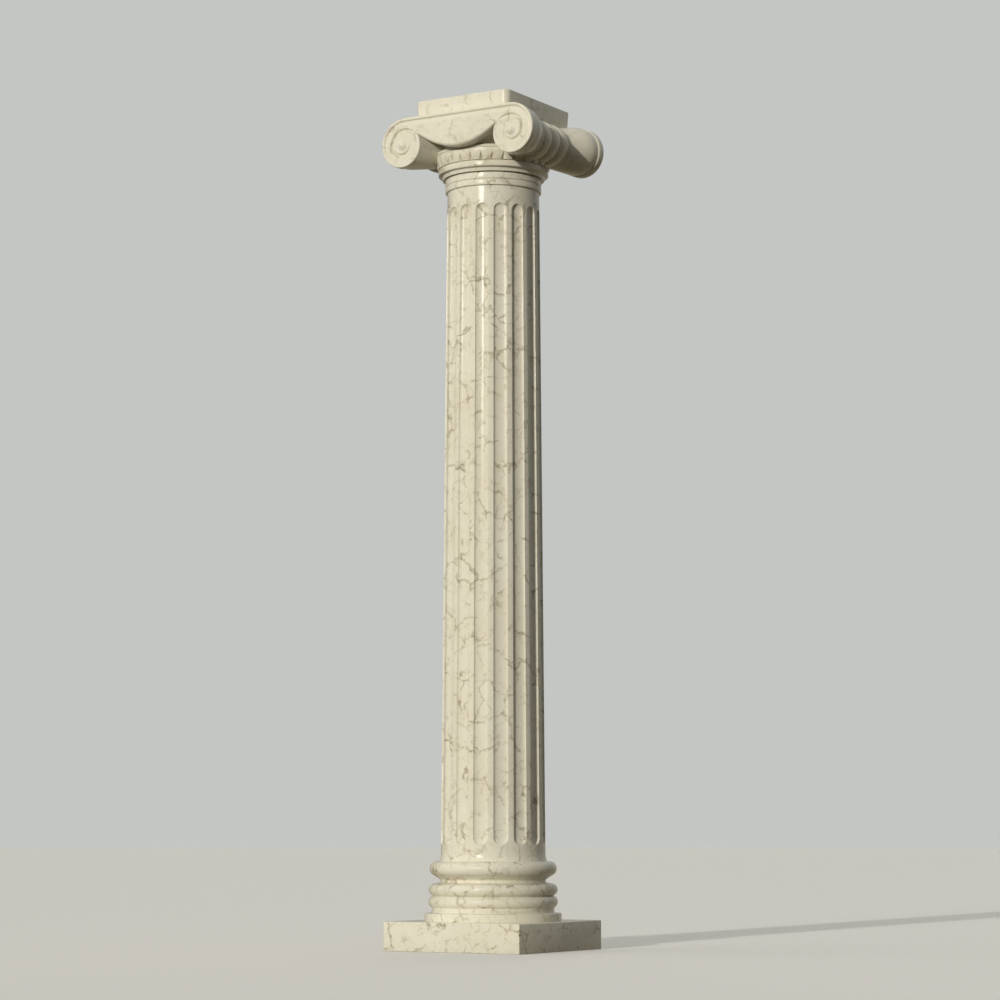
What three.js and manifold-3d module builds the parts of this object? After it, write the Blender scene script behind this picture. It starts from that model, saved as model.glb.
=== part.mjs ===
// An Ionic column of polished, veined cream marble: a square plinth, a moulded round base, a fluted shaft and
// a scrolled capital, standing on each other by their own weight.
// Millimetres, Z up, origin at the middle of the underside. The capital's scrolled faces look along -Y and +Y.

import * as THREE from 'three';
import { mergeVertices } from 'three/addons/utils/BufferGeometryUtils.js';
import Module from 'manifold-3d';

const { degToRad, lerp, smoothstep } = THREE.MathUtils;

// Heights of the bed joints and of the top above the ground.
const PLINTH_TOP = 101;
const BASE_TOP = 308;
const SHAFT_TOP = 2732;
const ABACUS_BOTTOM = 2940;
const COLUMN_TOP = 3000;

const PLINTH_SIDE = 553;

// Base: a disc, two tori close together, a narrow neck and an upper torus.
// A round moulding has the radius and height of its centre line, the radius of its round, the angles in degrees
// between which it shows (0 points straight out and 90 up) and its number of facets.
const BASE_SIDES = 36;
const DISC_RADIUS = 239.5;
const DISC_TOP = 128;
const DISC_NECK_RADIUS = 214;
const DISC_NECK_BOTTOM = 131;
const LOWER_TORUS = { ring: 204, height: 167.6, round: 22.3, from: -62, to: 72, facets: 5 };
const MIDDLE_TORUS = { ring: 204.3, height: 209.6, round: 21.4, from: -72, to: 80, facets: 5 };
const UPPER_TORUS = { ring: 197.2, height: 282.7, round: 25.3, from: -58, to: 90, facets: 6 };
const NECK_RADIUS = 184.3;
const NECK_BOTTOM = 235;
const NECK_TOP = 244.5;

// Shaft: flared foot, straight taper and two beads at the top.
const SHAFT_FOOT_RADIUS = 188;
const SHAFT_FLARE_TOP = 340;
const SHAFT_FLARE_SHARES = [0, 0.2, 0.5, 1];
const SHAFT_LOWER_RADIUS = 183.2;
const SHAFT_UPPER_RADIUS = 164.8;
const LOWER_BEAD_BOTTOM = 2682;
const UPPER_BEAD_BOTTOM = 2705;
const BEAD_RADIUS = 172;
const BEAD_FACETS = 4;

// Flutes: angles round the shaft are measured from the front, towards +X.
const FLUTES = 16;
const FLUTE_HALF_ANGLE = degToRad(8.2);
const FLUTE_TURN = degToRad(-4.5);
const FLUTE_DEPTH = 11;
const FLUTE_BOTTOM = 365;
const FLUTE_TOP = 2619;
const FLUTE_END_LENGTH = 25;
const FLUTE_END_SHARES = [0, 0.35, 1];
const FLUTE_TIP_WIDTH = 0.3;

// Points across one flute, as shares of its half width; the flat band between two flutes is one facet.
const FLUTE_ACROSS = [-1, -0.62, 0, 0.62, 1];

// Capital, lower part: a fillet, a ring, the egg-and-dart band, a top fillet and the drum behind the scrolls.
const CAPITAL_FILLET_RADIUS = 172;
const CAPITAL_FILLET_TOP = 2738;
const RING = { ring: 185.5, height: 2756, round: 12, from: -75, to: 75, facets: 2 };
const EGG_BAND_BOTTOM = 2768;
const EGG_BAND_TOP = 2810;
const EGG_BAND_LOWER_RADIUS = 193;
const EGG_BAND_UPPER_RADIUS = 207;
const EGG_BAND_SWELL = 0.7;
const TOP_FILLET_RADIUS = 211;
const TOP_FILLET_TOP = 2820;
const DRUM_RADIUS = 188;
const DRUM_TOP = 2900;
const DRUM_SIDES = 32;

// Eggs: rows of points up the band, each with the share of an egg's full width that it has there.
// Across, a dart is one sunk point and an egg has two shoulders, this share of its half pitch from its middle.
const EGGS = 32;
const EGG_TURN = degToRad(-2.8);
const EGG_ROWS = [{ up: 0, width: 0.45 }, { up: 0.35, width: 0.9 }, { up: 0.95, width: 1 }];
const EGG_SHOULDER = 0.52;
const POINTS_PER_EGG = 3;
const DART_DEPTH = 9;

// Capital, scrolls: from the top edge, each volute loses a third of its radius in one turn round the eye.
const FACE_DISTANCE = 249;
const EYE_X = 226;
const EYE_HEIGHT = 2842;
const EYE_RADIUS = 16;
const EYE_RISE = 6;
const EYE_SIDES = 10;
const EYE_RINGS = 6;
const VOLUTE_RADIUS = ABACUS_BOTTOM - EYE_HEIGHT;
const VOLUTE_SHRINK_PER_TURN = 0.675;
const VOLUTE_OUTLINE_TURN = degToRad(300);
const VOLUTE_FACETS = 16;
const CHANNEL_SAG = 64;
const CHANNEL_FACETS = 10;
const TOP_EDGE_FACETS = 6;

// Grooves cut in the scrolled faces inside the rim: along the top edge, and winding in towards each eye.
const GROOVE_HALF_WIDTH = 4.5;
const GROOVE_DEPTH = 5;
const RIM_WIDTH = 12;
const RIM_GROOVE_TURN = degToRad(180);
const RIM_GROOVE_FACETS = 32;
const WINDING_GROOVE_START = degToRad(300);
const WINDING_GROOVE_END = degToRad(720);
const WINDING_GROOVE_FACETS = 20;
const CURVE_POINTS_PER_TURN = 24;

// Bolsters: behind a plain rim each scroll narrows from its face outline to an oval waist with a belt of beads.
const FACE_CENTRE = new THREE.Vector2(234, 2851);
const FACE_HALF_SIZE = new THREE.Vector2(81, 89.5);
const WAIST_CENTRE = new THREE.Vector2(180, 2852);
const WAIST_HALF_SIZE = new THREE.Vector2(84, 73);
const PINCH_START = 60;
const PINCH_END = 215;
const PINCH_INNER_X = 40;
const PINCH_OUTER_X = 150;
const RIM_DEPTH = 29;
const RIM_STEP = 6;
const BELT_BEADS = [-56, 0, 56];
const BELT_BEAD_HALF_WIDTH = 28;
const BELT_BEAD_RISE = 8;
const BELL_STATIONS = [120, 167, 214];

// Abacus: its sides lean in towards the underside, and its lowest part is buried in the scrolls.
const ABACUS_HALF_X = 195;
const ABACUS_HALF_Y = 220;
const ABACUS_CORNER = 26;
const ABACUS_CORNER_FACETS = 4;
const ABACUS_LEAN = 5;
const ABACUS_BURIED = 8;

const wasm = await Module();
wasm.setup();

const marble = new THREE.MeshStandardMaterial({ color: 0xdcd4b8, roughness: 0.3, metalness: 0 });

function point(x, y) {
  return new THREE.Vector2(x, y);
}

function roundOf({ ring, height, round, from, to, facets }) {
  const points = [];
  for (let step = 0; step <= facets; step += 1) {
    const angle = degToRad(lerp(from, to, step / facets));
    points.push(point(ring + round * Math.cos(angle), height + round * Math.sin(angle)));
  }
  return points;
}

// Points of a bead that swells from the shaft between two heights.
function beadOf(bottom, top) {
  const points = [];
  for (let step = 0; step <= BEAD_FACETS; step += 1) {
    const angle = Math.PI * (step / BEAD_FACETS - 0.5);
    const radius = lerp(SHAFT_UPPER_RADIUS, BEAD_RADIUS, Math.cos(angle));
    points.push(point(radius, lerp(bottom, top, (1 + Math.sin(angle)) / 2)));
  }
  return points;
}

// A solid turned about Z from a profile of radii and heights that runs from the bottom to the top.
function turned(profile, sides) {
  const bottom = point(0, profile[0].y);
  const top = point(0, profile[profile.length - 1].y);
  return new THREE.LatheGeometry([bottom, ...profile, top], sides).rotateX(Math.PI / 2);
}

// A turned solid whose points move to the radius and angle that a rule gives for each row and column.
function turnedAndCarved(profile, columns, rule) {
  const geometry = turned(profile, columns);
  const position = geometry.attributes.position;
  const rows = profile.length + 2;
  for (let index = 0; index < position.count; index += 1) {
    const row = (index % rows) - 1;
    const onProfile = row >= 0 && row < profile.length;
    if (onProfile) {
      const { radius, angle } = rule(row, Math.floor(index / rows));
      position.setXYZ(index, radius * Math.sin(angle), -radius * Math.cos(angle), profile[row].y);
    }
  }
  return geometry;
}

// One closed skin: shared points merged, and the triangles that collapse on the axis left out.
function welded(geometry) {
  geometry.deleteAttribute('normal');
  geometry.deleteAttribute('uv');
  const merged = mergeVertices(geometry);
  const corners = merged.index.array;
  const kept = [];
  for (let first = 0; first < corners.length; first += 3) {
    const [a, b, c] = corners.slice(first, first + 3);
    if (a !== b && b !== c && c !== a) {
      kept.push(a, b, c);
    }
  }
  merged.setIndex(kept);
  return merged;
}

function solidOf(geometry) {
  const skin = welded(geometry);
  return new wasm.Manifold(new wasm.Mesh({
    numProp: 3,
    vertProperties: skin.attributes.position.array,
    triVerts: Uint32Array.from(skin.index.array),
  }));
}

function geometryOf(solid) {
  const { vertProperties, triVerts } = solid.getMesh();
  const geometry = new THREE.BufferGeometry();
  geometry.setAttribute('position', new THREE.BufferAttribute(vertProperties, 3));
  geometry.setIndex(new THREE.BufferAttribute(triVerts, 1));
  return geometry;
}

function plinthGeometry() {
  return new THREE.BoxGeometry(PLINTH_SIDE, PLINTH_SIDE, PLINTH_TOP).translate(0, 0, PLINTH_TOP / 2);
}

function baseGeometry() {
  const profile = [
    point(DISC_RADIUS, PLINTH_TOP),
    point(DISC_RADIUS, DISC_TOP),
    point(DISC_NECK_RADIUS, DISC_NECK_BOTTOM),
    ...roundOf(LOWER_TORUS),
    ...roundOf(MIDDLE_TORUS),
    point(NECK_RADIUS, NECK_BOTTOM),
    point(NECK_RADIUS, NECK_TOP),
    ...roundOf(UPPER_TORUS),
  ];
  return welded(turned(profile, BASE_SIDES));
}

// How far open a flute is at a height: 1 along its length, falling to 0 over its rounded ends.
function fluteOpening(height) {
  const beyondBottom = FLUTE_BOTTOM + FLUTE_END_LENGTH - height;
  const beyondTop = height - (FLUTE_TOP - FLUTE_END_LENGTH);
  const share = Math.max(beyondBottom, beyondTop, 0) / FLUTE_END_LENGTH;
  return Math.sqrt(Math.max(0, 1 - share * share));
}

// Share of a flute's full width at a height; past its ends the points stand as wide apart as along it.
function fluteWidth(height) {
  const alongFlute = height >= FLUTE_BOTTOM && height <= FLUTE_TOP;
  return alongFlute ? Math.max(fluteOpening(height), FLUTE_TIP_WIDTH) : 1;
}

function shaftRadius(height) {
  const share = (height - SHAFT_FLARE_TOP) / (LOWER_BEAD_BOTTOM - SHAFT_FLARE_TOP);
  return lerp(SHAFT_LOWER_RADIUS, SHAFT_UPPER_RADIUS, share);
}

function shaftProfile() {
  const flare = SHAFT_FLARE_SHARES.map((share) => {
    const extra = (SHAFT_FOOT_RADIUS - SHAFT_LOWER_RADIUS) * (1 - share) ** 2;
    return point(SHAFT_LOWER_RADIUS + extra, lerp(BASE_TOP, SHAFT_FLARE_TOP, share));
  });
  const lowerEnd = FLUTE_END_SHARES.map((share) => FLUTE_BOTTOM + FLUTE_END_LENGTH * share);
  const upperEnd = FLUTE_END_SHARES.map((share) => FLUTE_TOP - FLUTE_END_LENGTH * share).reverse();
  const fluted = [...lowerEnd, ...upperEnd].map((height) => point(shaftRadius(height), height));
  const lowerBead = beadOf(LOWER_BEAD_BOTTOM, UPPER_BEAD_BOTTOM);
  const upperBead = beadOf(UPPER_BEAD_BOTTOM, SHAFT_TOP);
  return [...flare, ...fluted, ...lowerBead, ...upperBead.slice(1)];
}

function shaftGeometry() {
  const profile = shaftProfile();
  const perFlute = FLUTE_ACROSS.length;
  const geometry = turnedAndCarved(profile, FLUTES * perFlute, (row, column) => {
    const height = profile[row].y;
    const across = FLUTE_ACROSS[column % perFlute];
    const flute = Math.floor(column / perFlute);
    const depth = FLUTE_DEPTH * fluteOpening(height) * Math.sqrt(1 - across * across);
    const aside = across * fluteWidth(height) * FLUTE_HALF_ANGLE;
    return { radius: profile[row].x - depth, angle: FLUTE_TURN + (2 * Math.PI * flute) / FLUTES + aside };
  });
  return welded(geometry);
}

// The ring and the egg-and-dart band, whose radius drops into a dart between each two eggs.
function echinusSolid() {
  const below = [
    point(CAPITAL_FILLET_RADIUS, SHAFT_TOP),
    point(CAPITAL_FILLET_RADIUS, CAPITAL_FILLET_TOP),
    ...roundOf(RING),
  ];
  const band = EGG_ROWS.map(({ up }) => point(
    lerp(EGG_BAND_LOWER_RADIUS, EGG_BAND_UPPER_RADIUS, up ** EGG_BAND_SWELL),
    lerp(EGG_BAND_BOTTOM, EGG_BAND_TOP, up),
  ));
  const above = [point(TOP_FILLET_RADIUS, EGG_BAND_TOP), point(TOP_FILLET_RADIUS, TOP_FILLET_TOP)];
  const profile = [...below, ...band, ...above];
  return solidOf(turnedAndCarved(profile, EGGS * POINTS_PER_EGG, (row, column) => {
    const eggRow = EGG_ROWS[row - below.length];
    const shoulder = EGG_SHOULDER * (eggRow ? eggRow.width : 1);
    const place = column % POINTS_PER_EGG;
    const across = [0, 1 - shoulder, 1 + shoulder][place];
    const sunk = eggRow && place === 0 ? DART_DEPTH : 0;
    const halfPitches = 2 * Math.floor(column / POINTS_PER_EGG) + across;
    return { radius: profile[row].x - sunk, angle: EGG_TURN + (Math.PI / EGGS) * halfPitches };
  }));
}

function drumSolid() {
  return solidOf(turned([point(DRUM_RADIUS, EGG_BAND_BOTTOM), point(DRUM_RADIUS, DRUM_TOP)], DRUM_SIDES));
}

// A point of the spiral on the +X side of a face, at an angle from the top that grows outwards.
function spiralPoint(angle, inset = 0) {
  const radius = VOLUTE_RADIUS * VOLUTE_SHRINK_PER_TURN ** (angle / (2 * Math.PI)) - inset;
  return point(EYE_X + radius * Math.sin(angle), EYE_HEIGHT + radius * Math.cos(angle));
}

function mirrored({ x, y }) {
  return point(-x, y);
}

// Outline of a scrolled face: straight top edge, a volute on each side and the sagging lower edge between them.
function faceOutline() {
  const volute = [];
  for (let step = 0; step <= VOLUTE_FACETS; step += 1) {
    volute.push(spiralPoint((VOLUTE_OUTLINE_TURN * step) / VOLUTE_FACETS));
  }
  const inner = volute[VOLUTE_FACETS];
  const lowerEdge = [];
  for (let step = 1; step < CHANNEL_FACETS; step += 1) {
    const across = 1 - (2 * step) / CHANNEL_FACETS;
    lowerEdge.push(point(inner.x * across, inner.y - CHANNEL_SAG * (1 - across * across)));
  }
  const topEdge = [];
  for (let step = 1; step < TOP_EDGE_FACETS; step += 1) {
    topEdge.push(point(lerp(-EYE_X, EYE_X, step / TOP_EDGE_FACETS), ABACUS_BOTTOM));
  }
  return [...volute, ...lowerEdge, ...volute.map(mirrored).reverse(), ...topEdge];
}

// Extra size of a bolster at a distance y from its middle: the beads stand up, the bell lies below the rim.
function bolsterRise(y) {
  const nearest = Math.min(...BELT_BEADS.map((bead) => Math.abs(y - bead)));
  const bead = BELT_BEAD_RISE * Math.max(0, 1 - nearest / BELT_BEAD_HALF_WIDTH);
  const onRim = Math.abs(y) >= FACE_DISTANCE - RIM_DEPTH;
  return onRim ? 0 : bead - RIM_STEP;
}

// Where a point of the face outline lies at a distance y from the middle of the bolsters.
function pinched(x, z, y) {
  const onFace = point(Math.abs(x), z);
  const pinch = 1 - smoothstep(Math.abs(y), PINCH_START, PINCH_END);
  const size = FACE_HALF_SIZE.clone().lerp(WAIST_HALF_SIZE, pinch).addScalar(bolsterRise(y));
  const outward = onFace.clone().sub(FACE_CENTRE).divide(FACE_HALF_SIZE);
  const onBolster = FACE_CENTRE.clone().lerp(WAIST_CENTRE, pinch).add(outward.multiply(size));
  const placed = onFace.lerp(onBolster, smoothstep(Math.abs(x), PINCH_INNER_X, PINCH_OUTER_X));
  return point(Math.sign(x) * placed.x, placed.y);
}

// Distances from the middle at which the bolsters' section is drawn, from one face to the other.
function bolsterStations() {
  const belt = BELT_BEADS.flatMap((bead) => [bead, bead + BELT_BEAD_HALF_WIDTH]);
  const half = [...BELL_STATIONS, FACE_DISTANCE - RIM_DEPTH, FACE_DISTANCE];
  return [...half.map((y) => -y).reverse(), BELT_BEADS[0] - BELT_BEAD_HALF_WIDTH, ...belt, ...half];
}

function scrollSolid() {
  const stations = bolsterStations();
  const steps = stations.length - 1;
  const shape = new THREE.Shape(faceOutline());
  const geometry = new THREE.ExtrudeGeometry(shape, { depth: steps, steps, bevelEnabled: false });
  const position = geometry.attributes.position;
  for (let index = 0; index < position.count; index += 1) {
    const y = stations[Math.round(position.getZ(index))];
    const placed = pinched(position.getX(index), position.getY(index), y);
    position.setXYZ(index, placed.x, -y, placed.y);
  }
  return solidOf(geometry);
}

// A groove of V section along a run of points on one of the faces.
function grooveSolid(run, side, facets) {
  const section = new THREE.Shape([
    point(GROOVE_HALF_WIDTH, 0),
    point(0, GROOVE_DEPTH),
    point(-GROOVE_HALF_WIDTH, 0),
    point(0, -GROOVE_DEPTH),
  ]);
  const path = new THREE.CatmullRomCurve3(run.map(({ x, y }) => new THREE.Vector3(x, side * FACE_DISTANCE, y)));
  return solidOf(new THREE.ExtrudeGeometry(section, { extrudePath: path, steps: facets, bevelEnabled: false }));
}

function spiralRun(from, to, inset) {
  const count = Math.ceil((CURVE_POINTS_PER_TURN * (to - from)) / (2 * Math.PI));
  const run = [];
  for (let step = 0; step <= count; step += 1) {
    run.push(spiralPoint(lerp(from, to, step / count), inset));
  }
  return run;
}

function grooveSolids() {
  const rim = spiralRun(0, RIM_GROOVE_TURN, RIM_WIDTH);
  const acrossFace = [...rim.map(mirrored).reverse(), ...rim];
  const winding = spiralRun(WINDING_GROOVE_START, WINDING_GROOVE_END, RIM_WIDTH);
  const windings = [winding, winding.map(mirrored)];
  return [-1, 1].flatMap((side) => [
    grooveSolid(acrossFace, side, RIM_GROOVE_FACETS),
    ...windings.map((run) => grooveSolid(run, side, WINDING_GROOVE_FACETS)),
  ]);
}

function eyeSolids() {
  return [-1, 1].flatMap((end) => [-1, 1].map((side) => {
    const dome = new THREE.SphereGeometry(EYE_RADIUS, EYE_SIDES, EYE_RINGS).scale(1, EYE_RISE / EYE_RADIUS, 1);
    return solidOf(dome.translate(end * EYE_X, side * FACE_DISTANCE, EYE_HEIGHT));
  }));
}

function abacusSolid() {
  const reachX = ABACUS_HALF_X - ABACUS_CORNER;
  const reachY = ABACUS_HALF_Y - ABACUS_CORNER;
  const quarter = Math.PI / 2;
  const shape = new THREE.Shape();
  shape.absarc(reachX, reachY, ABACUS_CORNER, 0, quarter);
  shape.absarc(-reachX, reachY, ABACUS_CORNER, quarter, 2 * quarter);
  shape.absarc(-reachX, -reachY, ABACUS_CORNER, 2 * quarter, 3 * quarter);
  shape.absarc(reachX, -reachY, ABACUS_CORNER, 3 * quarter, 4 * quarter);
  const bottom = ABACUS_BOTTOM - ABACUS_BURIED;
  const geometry = new THREE.ExtrudeGeometry(shape, {
    depth: COLUMN_TOP - bottom,
    curveSegments: ABACUS_CORNER_FACETS,
    bevelEnabled: false,
  });
  const position = geometry.attributes.position;
  for (let index = 0; index < position.count; index += 1) {
    const height = position.getZ(index);
    const size = height === 0 ? 1 - ABACUS_LEAN / ABACUS_HALF_X : 1;
    position.setXYZ(index, position.getX(index) * size, position.getY(index) * size, bottom + height);
  }
  return solidOf(geometry);
}

function capitalGeometry() {
  let capital = scrollSolid();
  for (const groove of grooveSolids()) {
    capital = capital.subtract(groove);
  }
  for (const joined of [...eyeSolids(), drumSolid(), echinusSolid(), abacusSolid()]) {
    capital = capital.add(joined);
  }
  return geometryOf(capital);
}

function piece(name, geometry) {
  const mesh = new THREE.Mesh(geometry, marble.clone());
  mesh.name = name;
  return mesh;
}

const column = new THREE.Group();
column.add(piece('plinth', plinthGeometry()));
column.add(piece('base', baseGeometry()));
column.add(piece('shaft', shaftGeometry()));
column.add(piece('capital', capitalGeometry()));

export default column;
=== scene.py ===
"""An Ionic column of polished, veined cream marble: plinth, moulded base, fluted shaft, scrolled capital.

Metres, Z up, origin at the middle of the underside. The capital's scrolled faces look along -Y and +Y.
Angles round the column are measured from the front, -Y, towards +X.
"""

import math

import bmesh
import bpy
import numpy as np
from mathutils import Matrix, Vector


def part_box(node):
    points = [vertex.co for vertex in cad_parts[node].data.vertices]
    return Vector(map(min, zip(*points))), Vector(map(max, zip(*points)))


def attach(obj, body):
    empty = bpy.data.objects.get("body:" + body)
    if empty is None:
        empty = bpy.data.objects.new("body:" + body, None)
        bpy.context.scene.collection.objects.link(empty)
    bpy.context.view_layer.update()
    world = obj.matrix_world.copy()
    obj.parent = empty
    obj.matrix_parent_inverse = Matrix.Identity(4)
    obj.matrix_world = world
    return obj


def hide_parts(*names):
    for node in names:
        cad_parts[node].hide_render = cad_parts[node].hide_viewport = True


bl_info = {
    "name": "Ionic column",
    "version": (1, 0, 0),
    "blender": (4, 5, 0),
    "location": "3D View > Sidebar > Column",
    "description": "Carves a fluted Ionic column in polished marble over its plain solids",
    "category": "Add Mesh",
}

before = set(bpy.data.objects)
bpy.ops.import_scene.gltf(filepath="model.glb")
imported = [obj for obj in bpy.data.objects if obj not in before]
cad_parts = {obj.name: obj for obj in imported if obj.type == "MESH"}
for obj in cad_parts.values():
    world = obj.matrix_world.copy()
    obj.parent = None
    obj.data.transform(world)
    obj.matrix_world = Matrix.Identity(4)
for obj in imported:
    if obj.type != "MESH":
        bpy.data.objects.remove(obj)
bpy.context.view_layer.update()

MM = 0.001
MERGE_DISTANCE = 0.02 * MM
SHARP_ANGLE = math.radians(38)
ARRIS_SEGMENTS = 3
ARRIS_ROUNDNESS = 0.5
EASE_FACETS = 4
MOULDING_FACETS = 24

# Heights of the bed joints, the top and the plain sizes that the solids give.
PLINTH_LOW, PLINTH_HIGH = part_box("plinth")
BASE_LOW, BASE_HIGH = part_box("base")
SHAFT_LOW, SHAFT_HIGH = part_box("shaft")
CAPITAL_LOW, CAPITAL_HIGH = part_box("capital")

# Base. A round moulding has the radius and height of its centre line, the radius of its round and the
# angles in degrees between which it shows, where 0 points straight out and 90 up.
DISC_RADIUS = BASE_HIGH.x
DISC_TOP = 128 * MM
DISC_NECK_RADIUS = 214 * MM
DISC_NECK_BOTTOM = 131 * MM
LOWER_TORUS = {"ring": 204 * MM, "height": 167.6 * MM, "bulge": 22.3 * MM, "start": -62, "end": 72}
MIDDLE_TORUS = {"ring": 204.3 * MM, "height": 209.6 * MM, "bulge": 21.4 * MM, "start": -72, "end": 80}
UPPER_TORUS = {"ring": 197.2 * MM, "height": 282.7 * MM, "bulge": 25.3 * MM, "start": -58, "end": 90}
BASE_NECK_RADIUS = 184.3 * MM
BASE_NECK_BOTTOM = 235 * MM
BASE_NECK_TOP = 244.5 * MM
BASE_NECK_EASE = 4.5 * MM
BASE_SIDES = 192

# Shaft: flared foot, straight taper and two beads at the top.
SHAFT_FOOT_RADIUS = 188 * MM
SHAFT_FLARE_TOP = 340 * MM
SHAFT_LOWER_RADIUS = 183.2 * MM
SHAFT_UPPER_RADIUS = 164.8 * MM
LOWER_BEAD_BOTTOM = 2682 * MM
UPPER_BEAD_BOTTOM = 2705 * MM
BEAD_RADIUS = 172 * MM
BEAD_FULLNESS = 4.5
BEAD_FACETS = 16
FLUTE_BOTTOM = 365 * MM
FLUTE_TOP = 2619 * MM
FLUTE_TIP_WIDTH = 0.12
FLUTE_COLUMNS = 18
FLUTE_END_ROWS = 12
FILLET_COLUMNS = 3
FLARE_LEVELS = 9
FOOT_LEVELS = 5
FLUTED_LEVELS = 24
NECK_LEVELS = 8

# Capital, lower part: a fillet, a ring, the egg-and-dart band, a top fillet, the drum behind the scrolls.
CAPITAL_FOOT_RADIUS = 172 * MM
FOOT_FILLET_LOWER = np.array((182, 2730)) * MM
FOOT_FILLET_UPPER = np.array((184, 2743)) * MM
RING = {
    "ring": 185.5 * MM, "height": 2756 * MM, "bulge": 12 * MM, "start": -50, "end": 80, "fullness": 5}
EGG_BAND_BOTTOM = 2768 * MM
EGG_BAND_TOP = 2810 * MM
EGG_BAND_LOWER_RADIUS = 200 * MM
EGG_BAND_UPPER_RADIUS = 207 * MM
EGG_BAND_FULLNESS = 2
DART_BOTTOM = 2769 * MM
DART_TOP = 2797 * MM
DART_TIP_WIDTH = 0.15
DART_COLUMNS = 4
EGG_COLUMNS = 4
EGG_ROWS = 21
TOP_FILLET_RADIUS = 211 * MM
TOP_FILLET_TOP = 2820 * MM
TOP_FILLET_LEAN = 2 * MM
FILLET_EASE = 1.5 * MM
DRUM_RADIUS = 188 * MM
DRUM_TOP = 2900 * MM

# Capital, scrolls: from the top edge, each volute loses a third of its radius in one turn round the eye.
FACE_DISTANCE = 249 * MM
SCROLL_TOP = 2940 * MM
EYE_X = 226 * MM
EYE_HEIGHT = 2842 * MM
VOLUTE_RADIUS = SCROLL_TOP - EYE_HEIGHT
VOLUTE_SHRINK_PER_TURN = 0.675
VOLUTE_OUTLINE_TURN = math.radians(300)
CHANNEL_SAG = 64 * MM
POINTS_PER_TURN = 72
OUTLINE_POINTS = round(POINTS_PER_TURN * VOLUTE_OUTLINE_TURN / math.tau)
CHANNEL_COLUMNS = 72
ANGLE_SLACK = 0.01

# Relief of the faces, with angles in degrees round a volute from its top outwards: a rim along the top edge
# that fades at the side, and a groove that winds in from the top towards the eye, which is a soft dome.
RIM_FADE = (95, 165)
WINDING_RADIUS = 54 * MM
WINDING_SHRINK_PER_TURN = 0.44
WINDING_START = (300, 340)
WINDING_FADE = (560, 650)
WINDING_TURNS = 2
EYE_ROWS = 10
EYE_SOFTNESS = 1.4
STRIP_COLUMNS = 24

# Bolsters: behind a plain rim each scroll narrows from its face outline to an oval waist with a beaded belt.
# The lower part of the inner side has no rim, and leans straight from the face to the waist.
FACE_CENTRE = np.array((234, 2851)) * MM
FACE_HALF_SIZE = np.array((81, 89.5)) * MM
WAIST_CENTRE = np.array((180, 2852)) * MM
WAIST_HALF_SIZE = np.array((84, 73)) * MM
PINCH_START = 60 * MM
PINCH_END = 200 * MM
PINCH_INNER_X = 40 * MM
PINCH_OUTER_X = 150 * MM
INNER_SIDE_X = np.array((180, 250)) * MM
INNER_SIDE_HEIGHT = np.array((2860, 2930)) * MM
RIM_DEPTH = 29 * MM
RIM_STEP = 4 * MM
RIM_SLOPE = 6 * MM
EDGE_ROWS = 6
RIM_ROWS = 5
BELL_ROWS = 18
BELT_ROWS = 30
BELT_BEADS = np.array((-56, 0, 56)) * MM
BELT_BEAD_HALF_WIDTH = 28 * MM
BELT_BEAD_FULLNESS = 3

# Abacus: its sides lean in towards the underside, and its lowest part is buried in the scrolls.
ABACUS_HALF_X = 195 * MM
ABACUS_HALF_Y = 220 * MM
ABACUS_CORNER = 26 * MM
ABACUS_LEAN = 5 * MM
ABACUS_BURIED = 8 * MM
ABACUS_EDGE_ROWS = 4
ABACUS_CORNER_FACETS = 10

# Each block comes from another part of the quarry: where its stone lay there, how strongly it is veined.
BLOCKS = {
    "plinth": {"place": (0.0, 0.0, 0.0), "veining": 1.35},
    "base": {"place": (3.1, 1.7, 0.4), "veining": 1.2},
    "shaft": {"place": (-2.3, 4.9, 1.2), "veining": 1.0},
    "capital": {"place": (5.7, -3.6, 2.8), "veining": 0.65},
}

# Patterns in the stone: folds bend it, nets of cracks hold veins and hairs, and curls and clouds lie between.
# A net shows in patches of noise, from one value and fully from another. Where two nets cross, the knots are
# this many times as wide as the lines.
NOISE_MIDDLE = 0.5
FOLD_SIZE = 65 * MM
FOLD_REACH = 75 * MM
FOLD_DETAIL = 6
FOLD_ROUGHNESS = 0.66
NETS = {
    "vein": {"patch_size": 65 * MM, "from": 0.44, "fully": 0.64, "strength": 0.6, "knot_reach": 1.1},
    "hair": {"patch_size": 55 * MM, "from": 0.46, "fully": 0.64, "strength": 0.38, "knot_reach": 1.5},
}
PATCH_DETAIL = 3
PATCH_ROUGHNESS = 0.6
CURL_DETAIL = 2
CURL_DISTORTION = 0.6
CURL_HALF_WIDTH = 0.014
CURL_FULLY, CURL_GONE = 0.36, 0.52
CURL_STRENGTH = 0.4
CLOUD_SIZE = 220 * MM
CLOUD_DETAIL = 4
CLOUD_ROUGHNESS = 0.55
CLOUD_FROM, CLOUD_FULLY = 0.35, 0.7
CLOUD_STRENGTH = 0.8
VEIN_DULLNESS = 2
VEIN_HOLLOW = 0.2 * MM
VEIN_HOLLOW_STRENGTH = 0.5
STONE_IOR = 1.5

# Stage: the floor, and where the light from all round changes, as parts of a direction of length 1.
FLOOR_RADIUS = 60
FLOOR_SIDES = 96
FLOOR_GAP = 0.2 * MM
FLOOR_ROUGHNESS = 0.9
HORIZON_BLEND = 0.35
BACK_WALL_START = 0.3
BACK_WALL_END = 0.9
LAMP_BLUR = math.radians(0.7)

# The photograph's viewpoint.
CAMERA_AZIMUTH = math.radians(32.02)
CAMERA_DISTANCE = 10.426
CAMERA_HEIGHT = 0.4195
CAMERA_PITCH = math.radians(6.35)
CAMERA_YAW = math.radians(-0.131)
CAMERA_LENS = 106.45
CAMERA_SENSOR = 36


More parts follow.
